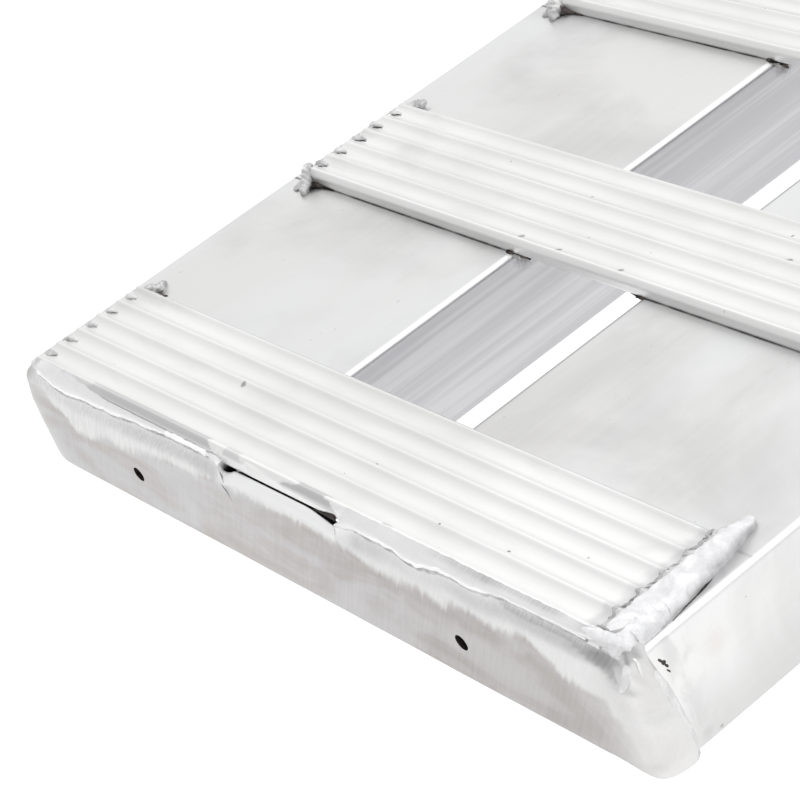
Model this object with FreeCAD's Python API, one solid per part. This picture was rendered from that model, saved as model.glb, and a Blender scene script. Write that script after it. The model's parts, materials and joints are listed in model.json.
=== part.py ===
"""Folding loading ramp for trucks and trailers.

Two welded aluminium halves are joined across their full width by one through hinge.
Each half has two closed box rails with ribbed rungs laid across them. The lower half ends in
a plate that stands on the ground. The upper half ends in a bent lip that rests on the bed.

Frame, in millimetres: X across the ramp, Y along it from the ground end to the lip, Z up.
The origin is the bottom centre of the whole unfolded ramp.
The hinge pin lies just below the rails, so the ramp folds with its undersides together.
"""
import FreeCAD, Part
import math
import os

os.makedirs("parts", exist_ok=True)
V = FreeCAD.Vector
X_AXIS = V(1, 0, 0)

# Deck
DECK_WIDTH = 305.0
RAIL_WIDTH = 122.0
RAIL_HEIGHT = 38.0
RAIL_WALL = 2.5
RAIL_RADIUS = 2.0          # outside corners along the top
RAIL_FOOT_RADIUS = 0.8     # outside corners along the underside

# Rungs: a ribbed flat bar, five hollow scallops between six sharp ridges
RUNG_LENGTH = 284.0
RUNG_DEPTH = 45.5
RUNG_EDGE = 3.4            # height of the square edge at front and back
RUNG_HEIGHT = 5.5          # height of the ridges
RIDGE_PITCH = 8.4
RIDGE_GAPS = 5
SCALLOP_DEPTH = 1.5
RUNG_PITCH = 117.0
RUNG_SETBACK = 2.6         # first rung, behind the face of the ground end plate
RUNG_TO_HINGE = 2.0        # rungs beside the hinge line
LOWER_RUNGS = 10
UPPER_RUNGS = 9

# End plates
END_PLATE = 5.0
BEVEL_DEPTH = 2.4          # weld bevel along the ground end plate's top front edge
BEVEL_HEIGHT = 3.5
SLOT_WIDTH = 61.0          # slot under the first rung, between the rails
SLOT_MIDDLE = 1.0          # its height at the middle
SLOT_END = 2.6             # its height at both ends
VENT_RADIUS = 2.6
VENT_HEIGHT = 14.6         # above the rails' underside
GROUND_VENTS = (-92.5, 75.5)

# Hinge
LEAF = 6.0
LEAF_GAP = 0.2             # each leaf to the hinge line
BARREL_RADIUS = 9.0
BARREL_CLEARANCE = 0.3     # barrel to the rails' underside
PIN_RADIUS = 5.0
BORE_RADIUS = 5.05
KNUCKLES = 7
KNUCKLE_PITCH = 40.0
KNUCKLE_GAP = 0.4
WASHER_RADIUS = 8.5
WASHER = 1.5
CLIP_RADIUS = 7.4
CLIP = 1.2
CLIP_SLACK = 0.05
CLIP_MOUTH = 7.0
GROOVE_RADIUS = 4.2
PIN_TAIL = 3.3             # pin past its clip
PIN_CHAMFER = 0.8

# Lip
LIP = 5.0
LIP_SEAT = 66.0            # flat part, welded on top of the rails
LIP_REACH = 100.0          # sloping part, along its slope
LIP_ANGLE = 18.0
LIP_BEND = 6.0             # inside radius
LIP_BEVEL = 3.0
LIP_CORNER = 14.0
STRAP_HOLE_RADIUS = 6.0
STRAP_HOLE_X = 122.0
STRAP_HOLE_S = 34.0        # down the slope from the bend
PAD_WIDTH = 80.0
PAD_LENGTH = 60.0
PAD = 6.0
PAD_X = 62.0
PAD_S = 50.0
PAD_CORNER = 8.0
RIVET_SPACING = 27.0
RIVET_RADIUS = 2.4
RIVET_HOLE_RADIUS = 2.45
RIVET_HEAD_RADIUS = 4.8
RIVET_HEAD = 1.6
RIVET_TAIL_RADIUS = 3.8
RIVET_TAIL = 1.8
RIVET_WELL_RADIUS = 6.0
RIVET_WELL = 3.5           # depth of the well that hides the rivet's tail in the pad

# Places worked out from the sizes above
HALF_LENGTH = RUNG_SETBACK + (LOWER_RUNGS - 1) * RUNG_PITCH + RUNG_DEPTH + RUNG_TO_HINGE
AXIS_Z = BARREL_RADIUS
UNDER_Z = AXIS_Z + BARREL_RADIUS + BARREL_CLEARANCE
DECK_Z = UNDER_Z + RAIL_HEIGHT
SLOPE = math.radians(LIP_ANGLE)
OVERHANG = (LIP_BEND + LIP - LIP_BEVEL) * math.sin(SLOPE) + LIP_REACH * math.cos(SLOPE)
HINGE_Y = -OVERHANG / 2
GROUND_Y = HINGE_Y - HALF_LENGTH
TOP_Y = HINGE_Y + HALF_LENGTH
RAIL_X = (DECK_WIDTH - RAIL_WIDTH) / 2


def save(name, solids):
    """Write one node, made of one or more separate solids."""
    shape = solids[0] if len(solids) == 1 else Part.makeCompound(solids)
    shape.exportStep("parts/" + name + ".step")


def block(x0, x1, y0, y1, z0, z1):
    return Part.makeBox(x1 - x0, y1 - y0, z1 - z0, V(x0, y0, z0))


def rod(radius, x0, x1, y=HINGE_Y, z=AXIS_Z):
    """A cylinder along X."""
    return Part.makeCylinder(radius, x1 - x0, V(x0, y, z), X_AXIS)


def line(a, b):
    return Part.LineSegment(a, b).toShape()


def arc(a, middle, b):
    return Part.Arc(a, middle, b).toShape()


def extrude_x(edges, length):
    """Extrude a closed outline in the YZ plane to both sides of X = 0."""
    face = Part.Face(Part.Wire(edges))
    face.translate(V(-length / 2, 0, 0))
    return face.extrude(V(length, 0, 0))


def rounded_plate(width, length, thickness, radius):
    """A plate centred on X and Y with its top at Z = 0 and rounded corners in plan."""
    plate = block(-width / 2, width / 2, -length / 2, length / 2, -thickness, 0)
    corners = [e for e in plate.Edges if abs(e.Vertexes[0].Z - e.Vertexes[1].Z) > thickness / 2]
    return plate.makeFillet(radius, corners)


def box_rail(x, y0, y1):
    """Closed rectangular tube with rounded outside corners."""
    outer = block(x - RAIL_WIDTH / 2, x + RAIL_WIDTH / 2, y0, y1, UNDER_Z, DECK_Z)
    for z, radius in ((DECK_Z, RAIL_RADIUS), (UNDER_Z, RAIL_FOOT_RADIUS)):
        corners = [e for e in outer.Edges
                   if e.BoundBox.YLength > RAIL_WIDTH and abs(e.BoundBox.ZMin - z) < 0.01 and e.BoundBox.ZLength < 0.01
                   and abs(abs(e.BoundBox.Center.x - x) - RAIL_WIDTH / 2) < 0.01]
        outer = outer.makeFillet(radius, corners)
    half = RAIL_WIDTH / 2 - RAIL_WALL
    return outer.cut(block(x - half, x + half, y0 - 1, y1 + 1, UNDER_Z + RAIL_WALL, DECK_Z - RAIL_WALL))


def rung(y0):
    """Ribbed bar whose front edge is at y0, lying on the rails."""
    top = DECK_Z + RUNG_HEIGHT
    slope = (RUNG_DEPTH - RIDGE_GAPS * RIDGE_PITCH) / 2
    y1 = y0 + RUNG_DEPTH
    edge = DECK_Z + RUNG_EDGE
    edges = [line(V(0, y1, DECK_Z), V(0, y0, DECK_Z)), line(V(0, y0, DECK_Z), V(0, y0, edge))]
    edges.append(line(V(0, y0, edge), V(0, y0 + slope, top)))
    for gap in range(RIDGE_GAPS):
        y = y0 + slope + gap * RIDGE_PITCH
        low = V(0, y + RIDGE_PITCH / 2, top - SCALLOP_DEPTH)
        edges.append(arc(V(0, y, top), low, V(0, y + RIDGE_PITCH, top)))
    edges.append(line(V(0, y1 - slope, top), V(0, y1, edge)))
    edges.append(line(V(0, y1, edge), V(0, y1, DECK_Z)))
    return extrude_x(edges, RUNG_LENGTH)


def end_plate(y0, vents):
    """Flat bar that closes both rails at one end, with a small vent hole into each rail."""
    plate = block(-DECK_WIDTH / 2, DECK_WIDTH / 2, y0, y0 + END_PLATE, UNDER_Z, DECK_Z)
    for x in vents:
        start = V(x, y0 - 1, UNDER_Z + VENT_HEIGHT)
        plate = plate.cut(Part.makeCylinder(VENT_RADIUS, END_PLATE + 2, start, V(0, 1, 0)))
    return plate


def ground_plate():
    """End plate of the ground end, with a weld bevel and the slot below the first rung."""
    plate = end_plate(GROUND_Y, GROUND_VENTS)
    corners = [V(0, GROUND_Y, DECK_Z - BEVEL_HEIGHT), V(0, GROUND_Y + BEVEL_DEPTH, DECK_Z), V(0, GROUND_Y, DECK_Z)]
    bevel = [line(a, b) for a, b in zip(corners, corners[1:] + corners[:1])]
    plate = plate.cut(extrude_x(bevel, DECK_WIDTH))
    x = SLOT_WIDTH / 2
    left = V(-x, GROUND_Y, DECK_Z - SLOT_END)
    right = V(x, GROUND_Y, DECK_Z - SLOT_END)
    up = V(0, 0, SLOT_END)
    edges = [arc(left, V(0, GROUND_Y, DECK_Z - SLOT_MIDDLE), right), line(right, right + up)]
    edges += [line(right + up, left + up), line(left + up, left)]
    return plate.cut(Part.Face(Part.Wire(edges)).extrude(V(0, END_PLATE, 0)))


def hinge_leaf(side, knuckles):
    """Upright leaf across the full width, with its own knuckles hanging below it.

    side is -1 for the lower half and +1 for the upper half.
    """
    near = HINGE_Y + side * LEAF_GAP
    far = near + side * LEAF
    y0 = min(near, far)
    y1 = max(near, far)
    leaf = block(-DECK_WIDTH / 2, DECK_WIDTH / 2, y0, y1, UNDER_Z, DECK_Z)
    for k in knuckles:
        x0 = (k - KNUCKLES / 2) * KNUCKLE_PITCH + KNUCKLE_GAP / 2
        x1 = x0 + KNUCKLE_PITCH - KNUCKLE_GAP
        leaf = leaf.fuse([rod(BARREL_RADIUS, x0, x1), block(x0, x1, y0, y1, AXIS_Z, UNDER_Z)])
    return leaf.cut(rod(BORE_RADIUS, -DECK_WIDTH / 2, DECK_WIDTH / 2)).removeSplitter()


BARREL_END = KNUCKLES * KNUCKLE_PITCH / 2 - KNUCKLE_GAP / 2
CLIP_X = BARREL_END + WASHER + CLIP_SLACK


def hinge_pin():
    """One pin through all the knuckles, with a groove near each end."""
    end = CLIP_X + CLIP + PIN_TAIL
    pin = rod(PIN_RADIUS, -end, end)
    rims = [e for e in pin.Edges if abs(abs(e.CenterOfMass.x) - end) < PIN_CHAMFER]
    pin = pin.makeChamfer(PIN_CHAMFER, rims)
    for side in (-1, 1):
        x0 = CLIP_X - CLIP_SLACK if side > 0 else -CLIP_X - CLIP - CLIP_SLACK
        x1 = x0 + CLIP + 2 * CLIP_SLACK
        pin = pin.cut(rod(PIN_RADIUS + 1, x0, x1).cut(rod(GROOVE_RADIUS, x0, x1)))
    return pin


def hinge_washer(side):
    x0 = BARREL_END if side > 0 else -BARREL_END - WASHER
    return rod(WASHER_RADIUS, x0, x0 + WASHER).cut(rod(BORE_RADIUS, x0, x0 + WASHER))


def hinge_clip(side):
    """Spring clip in the pin's groove, open at the bottom."""
    x0 = CLIP_X if side > 0 else -CLIP_X - CLIP
    x1 = x0 + CLIP
    ring = rod(CLIP_RADIUS, x0, x1).cut(rod(GROOVE_RADIUS + CLIP_SLACK, x0, x1))
    mouth = block(x0, x1, HINGE_Y - CLIP_MOUTH / 2, HINGE_Y + CLIP_MOUTH / 2, 0, AXIS_Z)
    return ring.cut(mouth)


def on_slope(shape):
    """Carry a shape from the flat to the lip's slope.

    In the flat, Y = 0 is where the bend ends and Z = 0 is the underside of the lip.
    """
    shape = shape.copy()
    shape.rotate(V(0, 0, 0), X_AXIS, -LIP_ANGLE)
    y = TOP_Y + LIP_BEND * math.sin(SLOPE)
    z = DECK_Z - LIP_BEND * (1 - math.cos(SLOPE))
    shape.translate(V(0, y, z))
    return shape


def round_bar(radius, x, s, z0, z1):
    """A cylinder along Z, at s from the start of the slope."""
    return Part.makeCylinder(radius, z1 - z0, V(x, s, z0))


def rivet_places():
    return [(side * PAD_X + k * RIVET_SPACING, PAD_S) for side in (-1, 1) for k in (-1, 0, 1)]


def lip_plate():
    """Bent plate: a flat seat on the rails, a bend at their end and a slope down to the bed."""
    def on_bend(radius, angle):
        return V(0, TOP_Y + radius * math.sin(angle), DECK_Z - LIP_BEND + radius * math.cos(angle))

    def past_bend(radius, length):
        return on_bend(radius, SLOPE) + V(0, length * math.cos(SLOPE), -length * math.sin(SLOPE))

    inner = LIP_BEND
    outer = LIP_BEND + LIP
    seat = TOP_Y - LIP_SEAT
    corners = [V(0, seat, DECK_Z), on_bend(inner, 0), on_bend(inner, SLOPE), past_bend(inner, LIP_REACH),
               past_bend(outer - LIP_BEVEL, LIP_REACH), past_bend(outer, LIP_REACH - LIP_BEVEL),
               on_bend(outer, SLOPE), on_bend(outer, 0), V(0, seat, DECK_Z + LIP)]
    edges = []
    for k, start in enumerate(corners):
        end = corners[(k + 1) % len(corners)]
        if k == 1:
            edges.append(arc(start, on_bend(inner, SLOPE / 2), end))
        elif k == 6:
            edges.append(arc(start, on_bend(outer, SLOPE / 2), end))
        else:
            edges.append(line(start, end))
    plate = extrude_x(edges, RUNG_LENGTH)
    length = LIP_SEAT + OVERHANG + 2 * LIP_CORNER
    outline = rounded_plate(RUNG_LENGTH, length, 4 * RAIL_HEIGHT, LIP_CORNER)
    outline.translate(V(0, TOP_Y + OVERHANG - length / 2, DECK_Z + 2 * RAIL_HEIGHT))
    plate = plate.common(outline)
    for side in (-1, 1):
        plate = plate.cut(on_slope(round_bar(STRAP_HOLE_RADIUS, side * STRAP_HOLE_X, STRAP_HOLE_S, -1, LIP + 1)))
    for x, s in rivet_places():
        plate = plate.cut(on_slope(round_bar(RIVET_HOLE_RADIUS, x, s, -1, LIP + 1)))
    return plate


def lip_pad(side):
    """Rubber pad under the lip, with a well for each rivet's tail."""
    pad = rounded_plate(PAD_WIDTH, PAD_LENGTH, PAD, PAD_CORNER)
    pad.translate(V(side * PAD_X, PAD_S, 0))
    for x, s in rivet_places():
        pad = pad.cut(round_bar(RIVET_HOLE_RADIUS, x, s, -PAD - 1, 1))
        pad = pad.cut(round_bar(RIVET_WELL_RADIUS, x, s, -PAD - 1, -PAD + RIVET_WELL))
    return on_slope(pad)


def lip_rivet(x, s):
    """Blind rivet: a domed head on the lip, a shank, and an upset tail in the pad's well."""
    well = -PAD + RIVET_WELL
    tail = round_bar(RIVET_TAIL_RADIUS, x, s, well - RIVET_TAIL, well)
    shank = round_bar(RIVET_RADIUS, x, s, well, LIP)
    dome_radius = (RIVET_HEAD_RADIUS ** 2 + RIVET_HEAD ** 2) / (2 * RIVET_HEAD)
    dome = Part.makeSphere(dome_radius, V(x, s, LIP + RIVET_HEAD - dome_radius))
    head = dome.common(round_bar(RIVET_HEAD_RADIUS + 1, x, s, LIP, LIP + RIVET_HEAD + 1))
    return on_slope(tail.fuse([shank, head]))


RAIL_SIDES = (("left", -RAIL_X), ("right", RAIL_X))
LEAF_REACH = LEAF + LEAF_GAP

# Lower half: ground end to hinge
for side_name, rail_x in RAIL_SIDES:
    save("lower_" + side_name + "_rail", [box_rail(rail_x, GROUND_Y + END_PLATE, HINGE_Y - LEAF_REACH)])
for number in range(LOWER_RUNGS):
    save("lower_rung_%02d" % (number + 1), [rung(GROUND_Y + RUNG_SETBACK + number * RUNG_PITCH)])
save("ground_end_plate", [ground_plate()])
save("lower_hinge_leaf", [hinge_leaf(-1, range(0, KNUCKLES, 2))])
save("hinge_pin", [hinge_pin()])
save("hinge_washers", [hinge_washer(-1), hinge_washer(1)])
save("hinge_clips", [hinge_clip(-1), hinge_clip(1)])

# Upper half: hinge to lip
for side_name, rail_x in RAIL_SIDES:
    save("upper_" + side_name + "_rail", [box_rail(rail_x, HINGE_Y + LEAF_REACH, TOP_Y - END_PLATE)])
for number in range(UPPER_RUNGS):
    save("upper_rung_%02d" % (number + 1), [rung(HINGE_Y + RUNG_TO_HINGE + number * RUNG_PITCH)])
save("upper_end_plate", [end_plate(TOP_Y - END_PLATE, (-RAIL_X, RAIL_X))])
save("upper_hinge_leaf", [hinge_leaf(1, range(1, KNUCKLES, 2))])
save("lip_plate", [lip_plate()])
save("left_lip_pad", [lip_pad(-1)])
save("right_lip_pad", [lip_pad(1)])
save("lip_rivets", [lip_rivet(x, s) for x, s in rivet_places()])

print("hinge axis at Y %.4f, Z %.4f" % (HINGE_Y, AXIS_Z))
print("lip overhang %.4f, total length %.4f" % (OVERHANG, 2 * HALF_LENGTH + OVERHANG))
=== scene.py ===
"""Looks of the folding loading ramp: rungs, ground end plate, weld beads, materials, light and camera.

Sizes are in millimetres in the functions below, and are turned into metres when a mesh is made.
Positions count from the ground end's left bottom corner: x across, y along the ramp, z up.
"""
import json
import math
import bmesh
import bpy
from mathutils import Matrix, Vector, noise

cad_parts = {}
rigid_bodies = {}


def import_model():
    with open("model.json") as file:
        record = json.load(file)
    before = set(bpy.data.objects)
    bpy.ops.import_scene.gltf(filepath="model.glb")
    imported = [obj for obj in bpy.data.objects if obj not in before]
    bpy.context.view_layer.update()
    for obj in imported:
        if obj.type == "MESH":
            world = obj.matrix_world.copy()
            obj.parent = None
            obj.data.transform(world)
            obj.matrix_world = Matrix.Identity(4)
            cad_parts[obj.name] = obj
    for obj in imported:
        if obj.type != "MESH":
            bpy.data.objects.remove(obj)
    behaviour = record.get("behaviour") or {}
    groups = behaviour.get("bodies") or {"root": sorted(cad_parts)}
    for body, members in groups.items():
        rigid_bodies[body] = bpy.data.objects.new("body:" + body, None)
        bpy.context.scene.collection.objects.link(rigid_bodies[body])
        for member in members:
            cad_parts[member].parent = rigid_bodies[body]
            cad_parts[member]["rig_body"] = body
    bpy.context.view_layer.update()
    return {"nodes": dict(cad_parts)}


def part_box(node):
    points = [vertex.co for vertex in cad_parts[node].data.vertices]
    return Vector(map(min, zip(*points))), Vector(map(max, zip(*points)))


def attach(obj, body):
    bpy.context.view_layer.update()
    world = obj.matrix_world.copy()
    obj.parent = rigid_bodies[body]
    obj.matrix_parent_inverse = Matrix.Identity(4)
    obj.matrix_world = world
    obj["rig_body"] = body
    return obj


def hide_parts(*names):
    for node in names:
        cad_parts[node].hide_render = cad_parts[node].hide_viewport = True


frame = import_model()
NODES = frame["nodes"]
MM = 0.001

# ---- places from the frame, in millimetres
plate_low, plate_high = (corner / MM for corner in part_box("ground_end_plate"))
rung_low, rung_high = (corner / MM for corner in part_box("lower_rung_01"))
second_low, _ = (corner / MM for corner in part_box("lower_rung_02"))
ORIGIN = Vector((plate_low.x, plate_low.y, plate_low.z))
WIDTH = plate_high.x - plate_low.x
DECK = rung_low.z - plate_low.z
PLATE = plate_high.y - plate_low.y
RUNG_TOP = rung_high.z - rung_low.z
RUNG_DEPTH = rung_high.y - rung_low.y
RUNG_IN = rung_low.x - plate_low.x
RUNG_BACK = rung_low.y - plate_low.y
PITCH = second_low.y - rung_low.y
RAIL_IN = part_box("lower_left_rail")[1].x / MM - plate_low.x

# ---- rung section, as the CAD part has it
RIDGE = 8.4
RIDGE_GAPS = 5
SCALLOP = 1.5
RUNG_EDGE = 3.4

TOP = ORIGIN.z + DECK           # height of the rails' top in the frame
STROKE_SLANT = 0.64             # how far the end plate's grinder strokes lean: x for each unit of z


def smooth(low, high, value):
    t = min(1.0, max(0.0, (value - low) / (high - low)))
    return t * t * (3 - 2 * t)


def curve(points):
    """A smooth function through a few (x, value) points."""
    def at(x):
        if x <= points[0][0]:
            return points[0][1]
        for (x0, v0), (x1, v1) in zip(points, points[1:]):
            if x <= x1:
                return v0 + (v1 - v0) * smooth(x0, x1, x)
        return points[-1][1]
    return at


def rough(x, y, z, size, seed=0.0):
    """Noise from -1 to 1 that changes over about size millimetres."""
    return noise.noise(Vector((x / size + seed, y / size + 3.7 * seed, z / size)))


def row(point):
    """Metres in the row frame, from millimetres at the ground end's left bottom corner."""
    return (ORIGIN + Vector(point)) * MM


def skin(rows, first=0):
    """Faces over rows of points, each row a closed loop, with both ends closed; first is the first index."""
    count = len(rows[0])
    faces = []
    for i in range(len(rows) - 1):
        for j in range(count):
            k = (j + 1) % count
            a = first + i * count
            faces.append((a + j, a + k, a + count + k, a + count + j))
    last = first + (len(rows) - 1) * count
    faces.append(tuple(reversed(range(first, first + count))))
    faces.append(tuple(range(last, last + count)))
    return faces


def add_object(name, data):
    made = bpy.data.objects.new(name, data)
    bpy.context.scene.collection.objects.link(made)
    return made


def make_piece(name, verts, faces, materials, body, material_of=None):
    """A smooth-shaded mesh piece that rides on a body."""
    mesh = bpy.data.meshes.new(name)
    mesh.from_pydata([tuple(v) for v in verts], [], faces)
    for material in materials:
        mesh.materials.append(material)
    if material_of:
        mesh.polygons.foreach_set("material_index", material_of)
    bm = bmesh.new()
    bm.from_mesh(mesh)
    bmesh.ops.recalc_face_normals(bm, faces=bm.faces)
    bm.to_mesh(mesh)
    bm.free()
    mesh.shade_smooth()
    mesh.set_sharp_from_angle(angle=math.radians(50))
    piece = add_object(name, mesh)
    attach(piece, body)
    return piece


def keep_values(piece, name, values):
    """Store one number for each vertex, for the material to read."""
    piece.data.attributes.new(name, "FLOAT", "POINT").data.foreach_set("value", values)


# ---- materials

class Paint:
    """Short calls for building one node material."""

    def __init__(self, name, metallic=1):
        self.material = bpy.data.materials.new(name)
        self.material.use_nodes = True
        self.tree = self.material.node_tree
        self.shader = self.tree.nodes["Principled BSDF"]
        self.shader.inputs["Metallic"].default_value = metallic
        self.shader.inputs["Specular Tint"].default_value = (0.72, 0.72, 0.72, 1)
        self.place = self.node("ShaderNodeTexCoord").outputs["Object"]

    def node(self, kind, **settings):
        made = self.tree.nodes.new(kind)
        for key, value in settings.items():
            setattr(made, key, value)
        return made

    def put(self, socket, value):
        if isinstance(value, bpy.types.NodeSocket):
            self.tree.links.new(value, socket)
        else:
            socket.default_value = value

    def noise(self, scale, stretch=(1, 1, 1), detail=4, roughness=0.55, distortion=0, place=None):
        """Noise from about 0.25 to 0.75; scale is in features per metre before the stretch."""
        mapping = self.node("ShaderNodeMapping")
        self.put(mapping.inputs["Vector"], place or self.place)
        mapping.inputs["Scale"].default_value = stretch
        tex = self.node("ShaderNodeTexNoise")
        self.put(tex.inputs["Vector"], mapping.outputs["Vector"])
        tex.inputs["Scale"].default_value = scale
        tex.inputs["Detail"].default_value = detail
        tex.inputs["Roughness"].default_value = roughness
        tex.inputs["Distortion"].default_value = distortion
        return tex.outputs["Fac"]

    def math(self, operation, a, b=0, c=0):
        made = self.node("ShaderNodeMath", operation=operation)
        for socket, value in zip(made.inputs, (a, b, c)):
            self.put(socket, value)
        return made.outputs[0]

    def product(self, first, *others):
        for value in others:
            first = self.math("MULTIPLY", first, value)
        return first

    def remap(self, value, low, high, out_low=0, out_high=1):
        made = self.node("ShaderNodeMapRange", interpolation_type="SMOOTHSTEP")
        for socket, number in zip(made.inputs, (value, low, high, out_low, out_high)):
            self.put(socket, number)
        return made.outputs[0]

    def ramp(self, value, low, high):
        """From 0 to 1 between two distances in millimetres."""
        return self.remap(value, low * MM, high * MM)

    def tint(self, color, tone, *masks):
        """The color turned to a tone where all masks are 1."""
        return self.mix(self.product(*masks), color, tone)

    def mix(self, factor, a, b):
        """a and b are sockets, colors, or single numbers for greys."""
        made = self.node("ShaderNodeMix", data_type="RGBA")
        self.put(made.inputs[0], factor)
        for socket, value in zip(made.inputs[6:8], (a, b)):
            if isinstance(value, float):
                value = (value, value, value)
            self.put(socket, value if isinstance(value, bpy.types.NodeSocket) else (*value, 1))
        return made.outputs[2]

    def axis(self, index):
        return self.node_out("ShaderNodeSeparateXYZ", self.place, index)

    def vector(self, *values):
        made = self.node("ShaderNodeCombineXYZ")
        for socket, value in zip(made.inputs, values):
            self.put(socket, value)
        return made.outputs[0]

    def node_out(self, kind, value, index):
        made = self.node(kind)
        self.put(made.inputs[0], value)
        return made.outputs[index]

    def attribute(self, name):
        return self.node("ShaderNodeAttribute", attribute_name=name).outputs["Fac"]

    def spot(self, centre, radius, soft, place=None):
        """1 inside a ragged spot, 0 outside it; centre and radius are in millimetres."""
        radius *= MM
        made = self.node("ShaderNodeVectorMath", operation="DISTANCE")
        self.put(made.inputs[0], place or self.place)
        made.inputs[1].default_value = Vector(centre) * MM
        wobble = self.math("MULTIPLY_ADD", self.noise(900, detail=3), radius * 0.9, -radius * 0.45)
        return self.remap(self.math("ADD", made.outputs["Value"], wobble), radius, radius * soft)

    def bump(self, height, strength, distance, normal=None):
        made = self.node("ShaderNodeBump")
        made.inputs["Strength"].default_value = strength
        made.inputs["Distance"].default_value = distance
        self.put(made.inputs["Height"], height)
        if normal is not None:
            self.put(made.inputs["Normal"], normal)
        return made.outputs["Normal"]

    def finish(self, color, roughness, normal=None):
        self.put(self.shader.inputs["Base Color"], color)
        self.put(self.shader.inputs["Roughness"], roughness)
        if normal is not None:
            self.put(self.shader.inputs["Normal"], normal)
        return self.material


def near_rungs(paint, first_y):
    """Object coordinates folded so that every rung's front edge lies at Y = 0, and left lies on right."""
    y = paint.math("SUBTRACT", paint.axis(1), first_y - PITCH * MM / 2)
    folded = paint.math("SUBTRACT", paint.math("FLOORED_MODULO", y, PITCH * MM), PITCH * MM / 2)
    return paint.vector(paint.math("ABSOLUTE", paint.axis(0)), folded, paint.axis(2))


def mill_finish(p):
    """Color, bands and normal of fine drawing lines along the ramp, tonal bands, stains and specks."""
    lines = p.noise(420, (1, 0.02, 1), detail=5)
    bands = p.noise(22, (1, 0.18, 1), detail=2)
    stains = p.noise(14, detail=5, distortion=0.6)
    specks = p.noise(650, detail=1)
    color = p.mix(p.remap(bands, 0.35, 0.65), (0.765, 0.762, 0.754), (0.80, 0.803, 0.81))
    color = p.mix(p.remap(stains, 0.45, 0.72, 0, 0.6), color, (0.56, 0.555, 0.55))
    color = p.mix(p.remap(lines, 0.35, 0.7, 0, 0.14), color, (0.80, 0.80, 0.805))
    color = p.mix(p.remap(specks, 0.78, 0.83, 0, 0.5), color, (0.35, 0.35, 0.36))
    normal = p.bump(lines, 0.12, 0.0006)
    return color, bands, p.bump(stains, 0.05, 0.004, normal)


def lip_metal():
    """Mill finish of the lip and the upper end plate."""
    p = Paint("lip metal")
    color, bands, normal = mill_finish(p)
    return p.finish(color, p.remap(bands, 0.3, 0.7, 0.36, 0.44), normal)


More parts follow.
